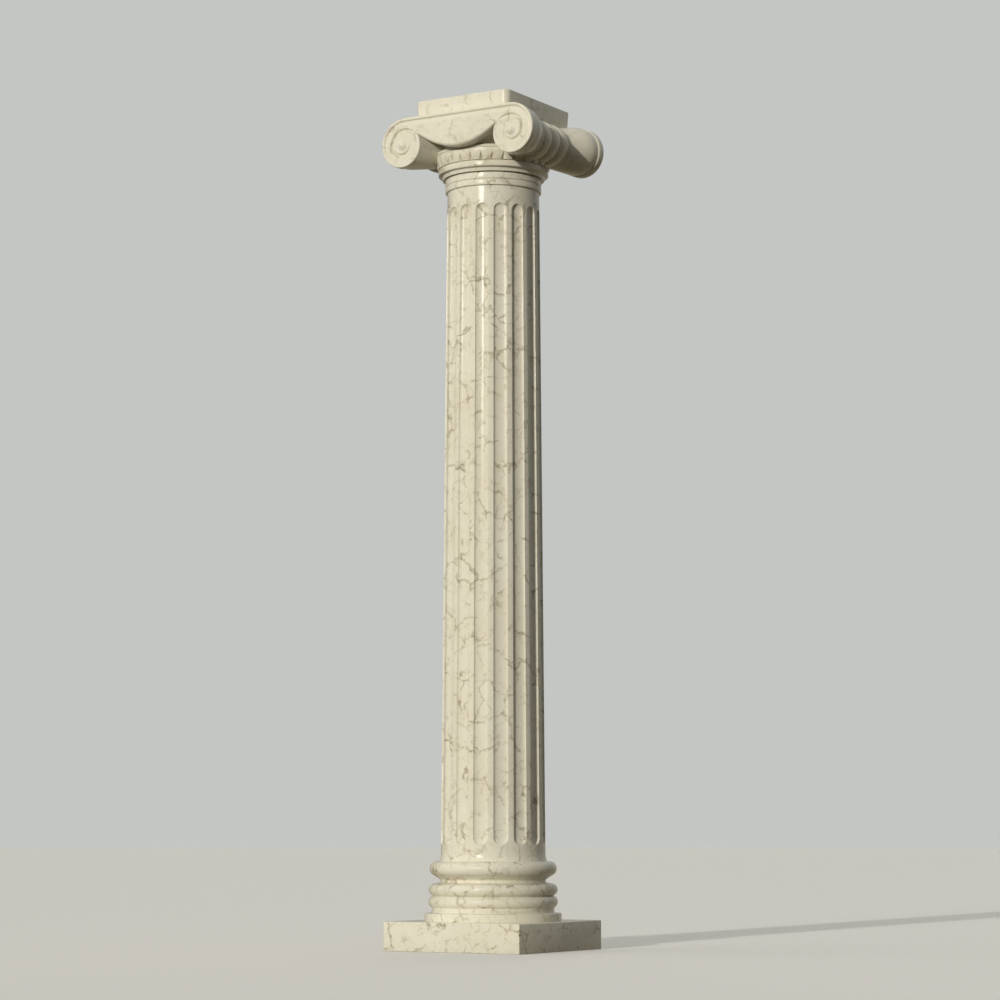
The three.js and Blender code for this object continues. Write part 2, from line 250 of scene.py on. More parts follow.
def linear(hex_colour):
    """An sRGB hex colour as linear red, green, blue and alpha."""
    shares = [int(hex_colour[place:place + 2], 16) / 255 for place in (0, 2, 4)]
    light = [c / 12.92 if c <= 0.04045 else ((c + 0.055) / 1.055) ** 2.4 for c in shares]
    return (*light, 1.0)


def length_setting(name, description, millimetres):
    """A setting for a length."""
    return bpy.props.FloatProperty(
        name=name, description=description, default=millimetres * MM, min=0, unit="LENGTH")


def angle_setting(name, description, degrees):
    """A setting for an angle."""
    return bpy.props.FloatProperty(
        name=name, description=description, default=math.radians(degrees), subtype="ANGLE")


def colour_setting(name, description, hex_colour):
    """A setting for a colour."""
    return bpy.props.FloatVectorProperty(
        name=name, description=description, default=linear(hex_colour), size=4, min=0, max=1, subtype="COLOR")


def strength_setting(name, description, strength):
    """A setting for the strength of a light."""
    return bpy.props.FloatProperty(name=name, description=description, default=strength, min=0)


class PlinthSizes(bpy.types.PropertyGroup):
    """What can be changed on the square block under the base"""

    arris: length_setting("Arris", "Radius of the eased edges", 2.5)


class BaseSizes(bpy.types.PropertyGroup):
    """What can be changed on the round base"""

    arris: length_setting("Arris", "Radius of the eased edges of the disc", 2)


class ShaftSizes(bpy.types.PropertyGroup):
    """What can be changed on the fluted shaft"""

    flutes: bpy.props.IntProperty(
        name="Flutes", description="Number of flutes round the shaft", default=16, min=3, subtype="UNSIGNED")
    flute_half_angle: angle_setting(
        "Flute half width", "Half of the angle that a flute takes up, seen from the axis", 8.2)
    flute_turn: angle_setting("Flute turn", "Angle from the front to the middle of the first flute", -4.5)
    flute_depth: length_setting("Flute depth", "Depth of a flute at its middle", 11)
    flute_end: length_setting("Flute end", "Length of the rounded ends of a flute", 25)


class CapitalSizes(bpy.types.PropertyGroup):
    """What can be changed on the scrolled capital"""

    eggs: bpy.props.IntProperty(
        name="Eggs", description="Number of eggs round the band under the scrolls", default=32, min=3,
        subtype="UNSIGNED")
    egg_turn: angle_setting("Egg turn", "Angle from the front to the middle of the first dart", -2.8)
    dart_depth: length_setting("Dart depth", "Depth of the notches between the eggs, at their foot", 12)
    dart_width: length_setting("Dart width", "Width of the notches at the foot of the eggs", 18)
    egg_rise: length_setting("Egg rise", "How far the middle of an egg swells", 2)
    eye_radius: length_setting("Eye radius", "Radius of the eye in each volute", 20)
    eye_rise: length_setting("Eye rise", "Height of the eye above the face", 9)
    rim_width: length_setting("Rim width", "Width of the raised rim along the edge of a face", 11)
    rim_wall: length_setting("Rim wall", "Width of the wall that slopes down inside the rim", 5)
    rim_height: length_setting("Rim height", "Height of the rim above the channel inside it", 5)
    winding_width: length_setting("Winding width", "Width of the groove that winds in to the eye", 15)
    winding_depth: length_setting("Winding depth", "Depth of the groove that winds in to the eye", 8)
    belt_rise: length_setting("Belt rise", "Height of the beads round the waist of the bolsters", 11)
    arris: length_setting("Arris", "Radius of the eased edges", 3)
    lip: length_setting("Lip", "Radius of the rounded lower edge between the volutes", 12)


class MarbleLook(bpy.types.PropertyGroup):
    """Colours and pattern sizes of the marble"""

    ground: colour_setting("Ground", "Main colour of the stone", "E9E5D4")
    cloud: colour_setting("Cloud", "Colour of the faint clouds in the stone", "E0DAC6")
    vein: colour_setting("Vein", "Colour of the veins", "ADA184")
    knot: colour_setting("Knot", "Colour of the dark knots where veins meet", "8D8368")
    vein_cell: length_setting("Vein spacing", "Usual distance between two veins", 80)
    vein_width: length_setting("Vein width", "Usual width of a vein", 6)
    hair_cell: length_setting("Hair spacing", "Usual distance between two hair veins", 38)
    hair_width: length_setting("Hair width", "Usual width of a hair vein", 3.6)
    curl_size: length_setting("Curl size", "Usual size of the fine curls of vein", 45)
    roughness: bpy.props.FloatProperty(
        name="Roughness", description="Roughness of the polish", default=0.11, min=0, max=1, subtype="FACTOR")


class StageLook(bpy.types.PropertyGroup):
    """Floor and light of the studio"""

    floor: colour_setting("Floor", "Colour of the floor", "FCFBF7")
    backdrop: colour_setting("Backdrop", "Colour that is seen behind the column", "C4C6C4")
    surround: colour_setting("Surround", "Colour of the light from above the horizon", "F6FCFC")
    ground_glow: colour_setting("Ground glow", "Colour of the light from below the horizon", "F4E2BC")
    surround_above: strength_setting("Surround above", "Strength of the light from above the horizon", 0.17)
    surround_below: strength_setting("Surround below", "Strength of the light from below the horizon", 0.06)
    surround_behind: strength_setting("Surround behind", "Extra strength behind the column", 0.28)
    light: colour_setting("Light", "Colour of the far lights and the lamp", "FFFAF0")
    key_strength: strength_setting("Key strength", "Strength of the main light", 2.1)
    key_azimuth: angle_setting("Key azimuth", "Direction of the main light, from the front towards +X", 2)
    key_elevation: angle_setting("Key elevation", "Height of the main light above the horizon", 12)
    key_spread: angle_setting("Key spread", "Apparent width of the main light", 0.8)
    fill_strength: strength_setting("Fill strength", "Strength of the light from the front left", 0.45)
    fill_azimuth: angle_setting("Fill azimuth", "Direction of that light, from the front towards +X", -60)
    back_strength: strength_setting("Back strength", "Strength of the light on the back", 0.6)
    back_azimuth: angle_setting("Back azimuth", "Direction of that light, from the front towards +X", -155)
    top_strength: strength_setting("Top strength", "Strength of the soft light from above", 0.5)
    soft_spread: angle_setting("Soft spread", "Apparent width of the fill, back and top lights", 60)
    lamp_strength: strength_setting("Lamp strength", "Strength of the round lamp that the polish mirrors", 12)
    lamp_width: angle_setting("Lamp width", "Apparent width of the lamp", 12)
    lamp_elevation: angle_setting("Lamp elevation", "Height of the lamp above the horizon", 14)


class ColumnSettings(bpy.types.PropertyGroup):
    """All the settings of the column"""

    plinth: bpy.props.PointerProperty(type=PlinthSizes)
    base: bpy.props.PointerProperty(type=BaseSizes)
    shaft: bpy.props.PointerProperty(type=ShaftSizes)
    capital: bpy.props.PointerProperty(type=CapitalSizes)
    marble: bpy.props.PointerProperty(type=MarbleLook)
    stage: bpy.props.PointerProperty(type=StageLook)


def add_node(tree, kind, inputs=None, **settings):
    """Adds a node, sets it up, and links or fills the inputs that are named or numbered."""
    node = tree.nodes.new(kind)
    for name, value in settings.items():
        setattr(node, name, value)
    for key, value in (inputs or {}).items():
        if isinstance(value, bpy.types.NodeSocket):
            tree.links.new(value, node.inputs[key])
        else:
            node.inputs[key].default_value = value
    return node


def marble_material(look, node):
    """Polished cream marble, sawn, carved and buffed to a gloss, as one block of it looks.

    The eye sees a warm, nearly even ground with faint clouds, a broken net of thin grey-brown veins, finer
    hairs and curls between them, and small dark knots where they cross; the lines are a little dull and sunk.
    """
    block = BLOCKS[node]
    material = bpy.data.materials.new(f"polished_cream_marble_{node}")
    material.use_nodes = True
    tree = material.node_tree
    tree.nodes.clear()
    on_piece = add_node(tree, "ShaderNodeTexCoord").outputs["Object"]
    place = add_node(tree, "ShaderNodeMapping", {"Vector": on_piece, "Location": block["place"]}).outputs[0]

    # The stone was folded while it formed, so its lines and clouds lie on bent coordinates.
    folds = add_node(tree, "ShaderNodeTexNoise", {
        "Vector": place, "Scale": 1 / FOLD_SIZE, "Detail": FOLD_DETAIL, "Roughness": FOLD_ROUGHNESS})
    shift = add_node(tree, "ShaderNodeVectorMath", {
        0: folds.outputs["Color"], 1: (NOISE_MIDDLE, NOISE_MIDDLE, NOISE_MIDDLE)}, operation="SUBTRACT")
    bent = add_node(tree, "ShaderNodeVectorMath", {
        0: shift.outputs[0], 1: (FOLD_REACH, FOLD_REACH, FOLD_REACH), 2: place},
        operation="MULTIPLY_ADD").outputs[0]

    # Veins, and the finer net of hairs, fill cracks between irregular lumps and only show in some patches.
    sizes = {"vein": (look.vein_cell, look.vein_width), "hair": (look.hair_cell, look.hair_width)}
    patches, presence, drawn, nearby = {}, {}, {}, {}
    for name, net in NETS.items():
        cell, width = sizes[name]
        cracks = add_node(tree, "ShaderNodeTexVoronoi", {
            "Vector": bent, "Scale": 1 / cell}, feature="DISTANCE_TO_EDGE").outputs["Distance"]
        patches[name] = add_node(tree, "ShaderNodeTexNoise", {
            "Vector": place, "Scale": 1 / net["patch_size"], "Detail": PATCH_DETAIL,
            "Roughness": PATCH_ROUGHNESS}).outputs["Fac"]
        presence[name] = add_node(tree, "ShaderNodeMapRange", {
            "Value": patches[name], "From Min": net["from"], "From Max": net["fully"],
            "To Max": net["strength"] * block["veining"]}, interpolation_type="SMOOTHSTEP").outputs["Result"]
        line = add_node(tree, "ShaderNodeMapRange", {
            "Value": cracks, "From Max": width / cell, "To Min": 1, "To Max": 0},
            interpolation_type="SMOOTHSTEP")
        drawn[name] = add_node(tree, "ShaderNodeMath", {
            0: line.outputs["Result"], 1: presence[name]}, operation="MULTIPLY").outputs[0]
        nearby[name] = add_node(tree, "ShaderNodeMapRange", {
            "Value": cracks, "From Max": net["knot_reach"] * width / cell, "To Min": 1,
            "To Max": 0}, interpolation_type="SMOOTHSTEP").outputs["Result"]

    # Curls are the level lines of a distorted noise, and show where there are few hairs.
    swirl = add_node(tree, "ShaderNodeTexNoise", {
        "Vector": bent, "Scale": 1 / look.curl_size, "Detail": CURL_DETAIL, "Distortion": CURL_DISTORTION})
    level = add_node(tree, "ShaderNodeMath", {0: swirl.outputs["Fac"], 1: NOISE_MIDDLE}, operation="SUBTRACT")
    off_level = add_node(tree, "ShaderNodeMath", {0: level.outputs[0]}, operation="ABSOLUTE")
    curl = add_node(tree, "ShaderNodeMapRange", {
        "Value": off_level.outputs[0], "From Max": CURL_HALF_WIDTH, "To Min": 1, "To Max": 0},
        interpolation_type="SMOOTHSTEP")
    curl_presence = add_node(tree, "ShaderNodeMapRange", {
        "Value": patches["hair"], "From Min": CURL_FULLY, "From Max": CURL_GONE,
        "To Min": CURL_STRENGTH * block["veining"], "To Max": 0}, interpolation_type="SMOOTHSTEP")
    curls = add_node(tree, "ShaderNodeMath", {
        0: curl.outputs["Result"], 1: curl_presence.outputs["Result"]}, operation="MULTIPLY")

    # Knots: where a vein and a hair cross, the stone is darkest.
    crossing = add_node(tree, "ShaderNodeMath", {0: nearby["vein"], 1: nearby["hair"]}, operation="MULTIPLY")
    knots = add_node(tree, "ShaderNodeMath", {
        0: crossing.outputs[0], 1: presence["vein"]}, operation="MULTIPLY")

    clouds = add_node(tree, "ShaderNodeTexNoise", {
        "Vector": bent, "Scale": 1 / CLOUD_SIZE, "Detail": CLOUD_DETAIL, "Roughness": CLOUD_ROUGHNESS})
    cloudiness = add_node(tree, "ShaderNodeMapRange", {
        "Value": clouds.outputs["Fac"], "From Min": CLOUD_FROM, "From Max": CLOUD_FULLY,
        "To Max": CLOUD_STRENGTH})
    ground = add_node(tree, "ShaderNodeMix", {
        "Factor": cloudiness.outputs["Result"], "A": look.ground, "B": look.cloud}, data_type="RGBA")

    fine_lines = add_node(tree, "ShaderNodeMath", {
        0: drawn["hair"], 1: curls.outputs[0]}, operation="MAXIMUM")
    lines = add_node(tree, "ShaderNodeMath", {
        0: drawn["vein"], 1: fine_lines.outputs[0]}, operation="MAXIMUM").outputs[0]
    veined = add_node(tree, "ShaderNodeMix", {
        "Factor": lines, "A": ground.outputs["Result"], "B": look.vein}, data_type="RGBA")
    knotted = add_node(tree, "ShaderNodeMix", {
        "Factor": knots.outputs[0], "A": veined.outputs["Result"], "B": look.knot}, data_type="RGBA")
    polish = add_node(tree, "ShaderNodeMapRange", {
        "Value": lines, "To Min": look.roughness, "To Max": VEIN_DULLNESS * look.roughness})
    relief = add_node(tree, "ShaderNodeBump", {
        "Height": lines, "Distance": VEIN_HOLLOW, "Strength": VEIN_HOLLOW_STRENGTH}, invert=True)
    stone = add_node(tree, "ShaderNodeBsdfPrincipled", {
        "Base Color": knotted.outputs["Result"], "Roughness": polish.outputs["Result"], "IOR": STONE_IOR,
        "Normal": relief.outputs["Normal"]})
    add_node(tree, "ShaderNodeOutputMaterial", {"Surface": stone.outputs["BSDF"]})
    return material


def smooth_share(value, start, end):
    """0 before the start, 1 after the end, and an even S between them."""
    share = np.clip((value - start) / (end - start), 0, 1)
    return share * share * (3 - 2 * share)


def moulding(ring, height, bulge, start, end, rise=None, fullness=2, facets=MOULDING_FACETS):
    """Points of a round moulding as radii and heights; above 2, fullness makes it squarer than an oval."""
    angles = np.radians(np.linspace(start, end, facets + 1))
    out = np.sign(np.cos(angles)) * np.abs(np.cos(angles)) ** (2 / fullness)
    up = np.sign(np.sin(angles)) * np.abs(np.sin(angles)) ** (2 / fullness)
    return np.column_stack((ring + bulge * out, height + (rise or bulge) * up))


def eased(before, corner, after, ease):
    """Points that round the corner of an outline between its two neighbours."""
    before, corner, after = np.array(before), np.array(corner), np.array(after)
    start = corner + (before - corner) * ease / np.linalg.norm(before - corner)
    end = corner + (after - corner) * ease / np.linalg.norm(after - corner)
    share = np.linspace(0, 1, EASE_FACETS + 1)[:, None]
    return (1 - share) ** 2 * start + 2 * share * (1 - share) * corner + share**2 * end


def closed_on_axis(profile):
    """A profile of radii and heights with its two ends brought in to the axis."""
    return np.vstack(((0, profile[0, 1]), profile, (0, profile[-1, 1])))


def bay_sheet(profile, angles, depth=0.0):
    """Points of one bay of a ring: a row for each point of the profile, a column for each angle."""
    radius, height, angles = np.broadcast_arrays(profile[:, :1] - depth, profile[:, 1:], angles)
    return np.stack((radius * np.sin(angles), -radius * np.cos(angles), height), axis=-1)


def skin(name, *sheets):
    """A mesh of one or more sheets of points, merged where they touch and facing outwards."""
    surface = bmesh.new()
    for sheet in sheets:
        rows = [[surface.verts.new(point) for point in row] for row in sheet]
        for lower, upper in zip(rows, rows[1:]):
            for column in range(len(lower) - 1):
                surface.faces.new((lower[column], lower[column + 1], upper[column + 1], upper[column]))
    return mesh_of(name, surface)


def mesh_of(name, surface):
    """Turns a built surface into a mesh, merged and with its faces outwards."""
    bmesh.ops.remove_doubles(surface, verts=surface.verts, dist=MERGE_DISTANCE)
    bmesh.ops.recalc_face_normals(surface, faces=surface.faces)
    mesh = bpy.data.meshes.new(name)
    surface.to_mesh(mesh)
    surface.free()
    return mesh


def joined(name, *meshes):
    """One mesh that holds several carved forms of the same block."""
    surface = bmesh.new()
    for mesh in meshes:
        surface.from_mesh(mesh)
    return mesh_of(name, surface)


def ring_tree():
    """The node tree that repeats a bay round the axis."""
    name = "ring of bays"
    if name in bpy.data.node_groups:
        return bpy.data.node_groups[name]
    tree = bpy.data.node_groups.new(name, "GeometryNodeTree")
    tree.interface.new_socket("Bay", in_out="INPUT", socket_type="NodeSocketGeometry")
    tree.interface.new_socket("Count", in_out="INPUT", socket_type="NodeSocketInt")
    tree.interface.new_socket("Turn", in_out="INPUT", socket_type="NodeSocketFloat")
    tree.interface.new_socket("Material", in_out="INPUT", socket_type="NodeSocketMaterial")
    tree.interface.new_socket("Ring", in_out="OUTPUT", socket_type="NodeSocketGeometry")
    given = add_node(tree, "NodeGroupInput").outputs
    points = add_node(tree, "GeometryNodePoints", {"Count": given["Count"]})
    index = add_node(tree, "GeometryNodeInputIndex")
    pitch = add_node(tree, "ShaderNodeMath", {0: math.tau, 1: given["Count"]}, operation="DIVIDE")
    angle = add_node(tree, "ShaderNodeMath", {
        0: index.outputs[0], 1: pitch.outputs[0], 2: given["Turn"]}, operation="MULTIPLY_ADD")
    rotation = add_node(tree, "ShaderNodeCombineXYZ", {"Z": angle.outputs[0]})
    bays = add_node(tree, "GeometryNodeInstanceOnPoints", {
        "Points": points.outputs[0], "Instance": given["Bay"], "Rotation": rotation.outputs[0]})
    real = add_node(tree, "GeometryNodeRealizeInstances", {"Geometry": bays.outputs[0]})
    merged = add_node(tree, "GeometryNodeMergeByDistance", {
        "Geometry": real.outputs[0], "Distance": MERGE_DISTANCE})
    finished = add_node(tree, "GeometryNodeSetMaterial", {
        "Geometry": merged.outputs[0], "Material": given["Material"]})
    add_node(tree, "NodeGroupOutput", {"Ring": finished.outputs[0]})
    return tree


def ring_of_bays(name, sheet, count, turn, material):
    """The plain mesh of one bay repeated round the axis."""
    carrier = bpy.data.objects.new(name, skin(name, sheet))
    bpy.context.scene.collection.objects.link(carrier)
    modifier = carrier.modifiers.new("ring", "NODES")
    modifier.node_group = ring_tree()
    values = {"Count": count, "Turn": turn, "Material": material}
    for socket in modifier.node_group.interface.items_tree:
        if socket.name in values:
            modifier[socket.identifier] = values[socket.name]
    evaluated = carrier.evaluated_get(bpy.context.evaluated_depsgraph_get())
    mesh = bpy.data.meshes.new_from_object(evaluated)
    bpy.data.objects.remove(carrier)
    return mesh


def stand_for(node, mesh, material):
    """Puts a carved mesh, in its marble, in the place of the plain solid of the same piece."""
    mesh.materials.clear()
    mesh.materials.append(material)
    mesh.shade_smooth()
    mesh.set_sharp_from_angle(angle=SHARP_ANGLE)
    piece = bpy.data.objects.new(f"carved_{node}", mesh)
    bpy.context.scene.collection.objects.link(piece)
    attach(piece, "root")
    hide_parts(node)


def plinth_mesh(sizes):
    """The square block, with eased edges."""
    block = bmesh.new()
    bmesh.ops.create_cube(block, size=1)
    bmesh.ops.scale(block, vec=PLINTH_HIGH - PLINTH_LOW, verts=block.verts)
    bmesh.ops.translate(block, vec=(PLINTH_LOW + PLINTH_HIGH) / 2, verts=block.verts)
    bmesh.ops.bevel(
        block, geom=block.edges, offset=sizes.arris, segments=ARRIS_SEGMENTS, profile=ARRIS_ROUNDNESS,
        affect="EDGES")
    return mesh_of("plinth", block)


def base_profile(sizes):
    """Radii and heights of the base: disc, two tori close together, a narrow neck and the upper torus."""
    lower = moulding(**LOWER_TORUS)
    middle = moulding(**MIDDLE_TORUS)
    upper = moulding(**UPPER_TORUS)
    disc_foot = (DISC_RADIUS, BASE_LOW.z)
    disc_edge = (DISC_RADIUS, DISC_TOP)
    disc_neck = (DISC_NECK_RADIUS, DISC_NECK_BOTTOM)
    neck_foot = (BASE_NECK_RADIUS, BASE_NECK_BOTTOM)
    neck_head = (BASE_NECK_RADIUS, BASE_NECK_TOP)
    return np.vstack((
        disc_foot,
        eased(disc_foot, disc_edge, disc_neck, sizes.arris),
        eased(disc_edge, disc_neck, lower[0], sizes.arris),
        lower,
        middle,
        eased(middle[-1], neck_foot, neck_head, BASE_NECK_EASE),
        eased(neck_foot, neck_head, upper[0], BASE_NECK_EASE),
        upper,
    ))


def base_mesh(sizes, material):
    """The round base, turned as a ring of narrow bays."""
    half_bay = math.pi / BASE_SIDES
    sheet = bay_sheet(closed_on_axis(base_profile(sizes)), np.array((-half_bay, half_bay)))
    return ring_of_bays("base", sheet, BASE_SIDES, 0.0, material)


def shaft_radius(height):
    """Radius of the shaft between its foot and its beads."""
    taper = np.interp(
        height, (SHAFT_FLARE_TOP, LOWER_BEAD_BOTTOM), (SHAFT_LOWER_RADIUS, SHAFT_UPPER_RADIUS))
    in_flare = np.clip((SHAFT_FLARE_TOP - height) / (SHAFT_FLARE_TOP - SHAFT_LOW.z), 0, 1)
    return taper + (SHAFT_FOOT_RADIUS - SHAFT_LOWER_RADIUS) * in_flare**2


def bead(bottom, top):
    """Points of a bead that swells from the shaft between two heights."""
    return moulding(
        SHAFT_UPPER_RADIUS, (bottom + top) / 2, BEAD_RADIUS - SHAFT_UPPER_RADIUS, -90, 90,
        rise=(top - bottom) / 2, fullness=BEAD_FULLNESS, facets=BEAD_FACETS)


def shaft_profile(sizes):
    """Radii and heights of the shaft, with rows close together where the flutes end."""
    from_tip = sizes.flute_end * (1 - np.cos(np.linspace(0, math.pi / 2, FLUTE_END_ROWS + 1)))
    heights = np.unique(np.concatenate((
        np.linspace(SHAFT_LOW.z, SHAFT_FLARE_TOP, FLARE_LEVELS),
        np.linspace(SHAFT_FLARE_TOP, FLUTE_BOTTOM, FOOT_LEVELS),
        FLUTE_BOTTOM + from_tip,
        np.linspace(FLUTE_BOTTOM + sizes.flute_end, FLUTE_TOP - sizes.flute_end, FLUTED_LEVELS),
        FLUTE_TOP - from_tip,
        np.linspace(FLUTE_TOP, LOWER_BEAD_BOTTOM, NECK_LEVELS),
    )).round(6))
    body = np.column_stack((shaft_radius(heights), heights))
    lower_bead = bead(LOWER_BEAD_BOTTOM, UPPER_BEAD_BOTTOM)
    upper_bead = bead(UPPER_BEAD_BOTTOM, SHAFT_HIGH.z)
    return np.vstack((body[:-1], lower_bead, upper_bead[1:]))


def hollow_columns(inside, outside):
    """Columns across one bay: places in the hollow from -1 to 1, and shares of the flat beside it."""
    across = np.sin(np.linspace(-math.pi / 2, math.pi / 2, inside + 1))
    flat = np.linspace(0, 1, outside + 1)[1:]
    sides = np.concatenate((-np.ones(outside), across, np.ones(outside)))
    aside = np.concatenate((flat[::-1], np.zeros(inside + 1), flat))
    return sides, aside


def shaft_mesh(sizes, material):
    """The fluted shaft, a ring of bays with one flute in each."""
    profile = closed_on_axis(shaft_profile(sizes))
    height = profile[:, 1:]
    past_full = np.maximum(FLUTE_BOTTOM + sizes.flute_end - height, height - FLUTE_TOP + sizes.flute_end)
    opening = np.sqrt(1 - np.clip(past_full / sizes.flute_end, 0, 1) ** 2)
    past_tip = np.clip(past_full / sizes.flute_end - 1, FLUTE_TIP_WIDTH, 1)
    width = np.where(opening > FLUTE_TIP_WIDTH, opening, past_tip)
    across, aside = hollow_columns(FLUTE_COLUMNS, FILLET_COLUMNS)
    half_pitch = math.pi / sizes.flutes
    edge = across * sizes.flute_half_angle * width
    angles = edge + aside * (np.sign(across) * half_pitch - edge)
    depth = sizes.flute_depth * opening * np.sqrt(1 - across**2)
    sheet = bay_sheet(profile, angles, depth)
    return ring_of_bays("shaft", sheet, sizes.flutes, sizes.flute_turn, material)


def echinus_profile():
    """Radii and heights of the two fillets, the ring and the egg band between them, and the drum."""
    ring = moulding(**RING)
    up = np.linspace(0, 1, EGG_ROWS + 1)
    out = 1 - (1 - up) ** EGG_BAND_FULLNESS
    band = np.column_stack((
        EGG_BAND_LOWER_RADIUS + (EGG_BAND_UPPER_RADIUS - EGG_BAND_LOWER_RADIUS) * out,
        EGG_BAND_BOTTOM + (EGG_BAND_TOP - EGG_BAND_BOTTOM) * up,
    ))
    foot = (CAPITAL_FOOT_RADIUS, CAPITAL_LOW.z)
    fillet_foot = (TOP_FILLET_RADIUS - TOP_FILLET_LEAN, EGG_BAND_TOP)
    fillet_head = (TOP_FILLET_RADIUS, TOP_FILLET_TOP)
    drum_foot = (DRUM_RADIUS, TOP_FILLET_TOP)
    return np.vstack((
        foot,
        eased(foot, FOOT_FILLET_LOWER, FOOT_FILLET_UPPER, FILLET_EASE),
        eased(FOOT_FILLET_LOWER, FOOT_FILLET_UPPER, ring[0], FILLET_EASE),
        ring,
        band,
        eased(band[-1], fillet_foot, fillet_head, FILLET_EASE),
        eased(fillet_foot, fillet_head, drum_foot, FILLET_EASE),
        drum_foot,
        (DRUM_RADIUS, DRUM_TOP),
    ))


def echinus_mesh(sizes, material):
    """The ring and the egg-and-dart band, a ring of bays with one dart in each."""
    profile = closed_on_axis(echinus_profile())
    height = profile[:, 1:]
    up = (height - DART_BOTTOM) / (DART_TOP - DART_BOTTOM)
    in_dart = (up >= 0) & (up <= 1)
    narrowing = np.clip(1 - up, DART_TIP_WIDTH, 1)
    across, aside = hollow_columns(DART_COLUMNS, EGG_COLUMNS)
    half_pitch = math.pi / sizes.eggs
    edge = across * sizes.dart_width / 2 / EGG_BAND_LOWER_RADIUS * narrowing
    angles = edge + aside * (np.sign(across) * half_pitch - edge)
    notch = np.where(in_dart, sizes.dart_depth * (1 - up**2) * (1 - np.abs(across)), 0)
    in_band = (height >= EGG_BAND_BOTTOM) & (height <= EGG_BAND_TOP)
    share = np.clip((height - EGG_BAND_BOTTOM) / (EGG_BAND_TOP - EGG_BAND_BOTTOM), 0, 1)
    swell = np.where(in_band, sizes.egg_rise * np.sin(math.pi * share) * aside, 0)
    sheet = bay_sheet(profile, angles, notch - swell)
    return ring_of_bays("echinus", sheet, sizes.eggs, sizes.egg_turn, material)


def volute_radius(angle):
    """Radius of a volute's spiral, at angles from the top that grow outwards."""
    return VOLUTE_RADIUS * VOLUTE_SHRINK_PER_TURN ** (angle / math.tau)


def round_eye(radius, angle):
    """Points of x and z round the eye on the +X side of a face."""
    return np.stack((EYE_X + radius * np.sin(angle), EYE_HEIGHT + radius * np.cos(angle)), axis=-1)


def face_outline():
    """The outline of a scrolled face, clockwise: volute, sagging lower edge, other volute, top."""
    angle = np.linspace(0, VOLUTE_OUTLINE_TURN, OUTLINE_POINTS + 1)
    volute = round_eye(volute_radius(angle), angle)
    across = np.cos(np.linspace(0, math.pi, CHANNEL_COLUMNS + 1))
    lower = np.column_stack((volute[-1, 0] * across, volute[-1, 1] - CHANNEL_SAG * (1 - across**2)))
    top = np.column_stack((-EYE_X * across, np.full_like(across, SCROLL_TOP)))
    return np.vstack((volute, lower[1:-1], volute[::-1] * (-1, 1), top[1:-1]))


def drawn_in(outline, distance):
    """A clockwise outline moved inwards."""
    along = np.roll(outline, -1, axis=0) - np.roll(outline, 1, axis=0)
    along /= np.linalg.norm(along, axis=1, keepdims=True)
    return outline + distance * np.column_stack((along[:, 1], -along[:, 0]))


def edge_radii(outline, sizes):
    """Radius of the eased edge all along the outline of a face, larger on the sagging lower edge."""
    across = np.cos(np.linspace(0, math.pi, CHANNEL_COLUMNS + 1))
    radii = np.full(len(outline), sizes.arris)
    lower = slice(OUTLINE_POINTS, OUTLINE_POINTS + CHANNEL_COLUMNS + 1)
    radii[lower] += (sizes.lip - sizes.arris) * np.sqrt(1 - across**2)
    return radii[:, None]


def bolster_rise(y, inside, sizes):
    """Extra size of a bolster at a distance from its middle: beads stand up, the bell lies below the rim."""
    nearest = np.abs(y - BELT_BEADS).min()
    belt = sizes.belt_rise * max(0.0, 1 - (nearest / BELT_BEAD_HALF_WIDTH) ** BELT_BEAD_FULLNESS)
    rim_edge = FACE_DISTANCE - RIM_DEPTH
    below_rim = 1 - smooth_share(abs(y), rim_edge - RIM_SLOPE, rim_edge)
    return (belt - RIM_STEP * (1 - inside)) * below_rim


def pinched(outline, y, sizes):
    """The face outline as it is at a distance from the middle of the bolsters."""
    on_face = np.abs(outline * (1, 0)) + outline * (0, 1)
    inside = 1 - smooth_share(on_face[:, :1], *INNER_SIDE_X)
    inside = inside * (1 - smooth_share(on_face[:, 1:], *INNER_SIDE_HEIGHT))
    bell = 1 - smooth_share(abs(y), PINCH_START, PINCH_END)
    lean = 1 - np.clip((abs(y) - PINCH_START) / (FACE_DISTANCE - PINCH_START), 0, 1)
    pinch = bell + (lean - bell) * inside
    size = FACE_HALF_SIZE + (WAIST_HALF_SIZE - FACE_HALF_SIZE) * pinch + bolster_rise(y, inside, sizes)
    centre = FACE_CENTRE + (WAIST_CENTRE - FACE_CENTRE) * pinch
    on_bolster = centre + (on_face - FACE_CENTRE) / FACE_HALF_SIZE * size
    share = smooth_share(on_face[:, :1], PINCH_INNER_X, PINCH_OUTER_X)
    placed = on_face + (on_bolster - on_face) * share
    return np.column_stack((np.sign(outline[:, 0]) * placed[:, 0], placed[:, 1]))


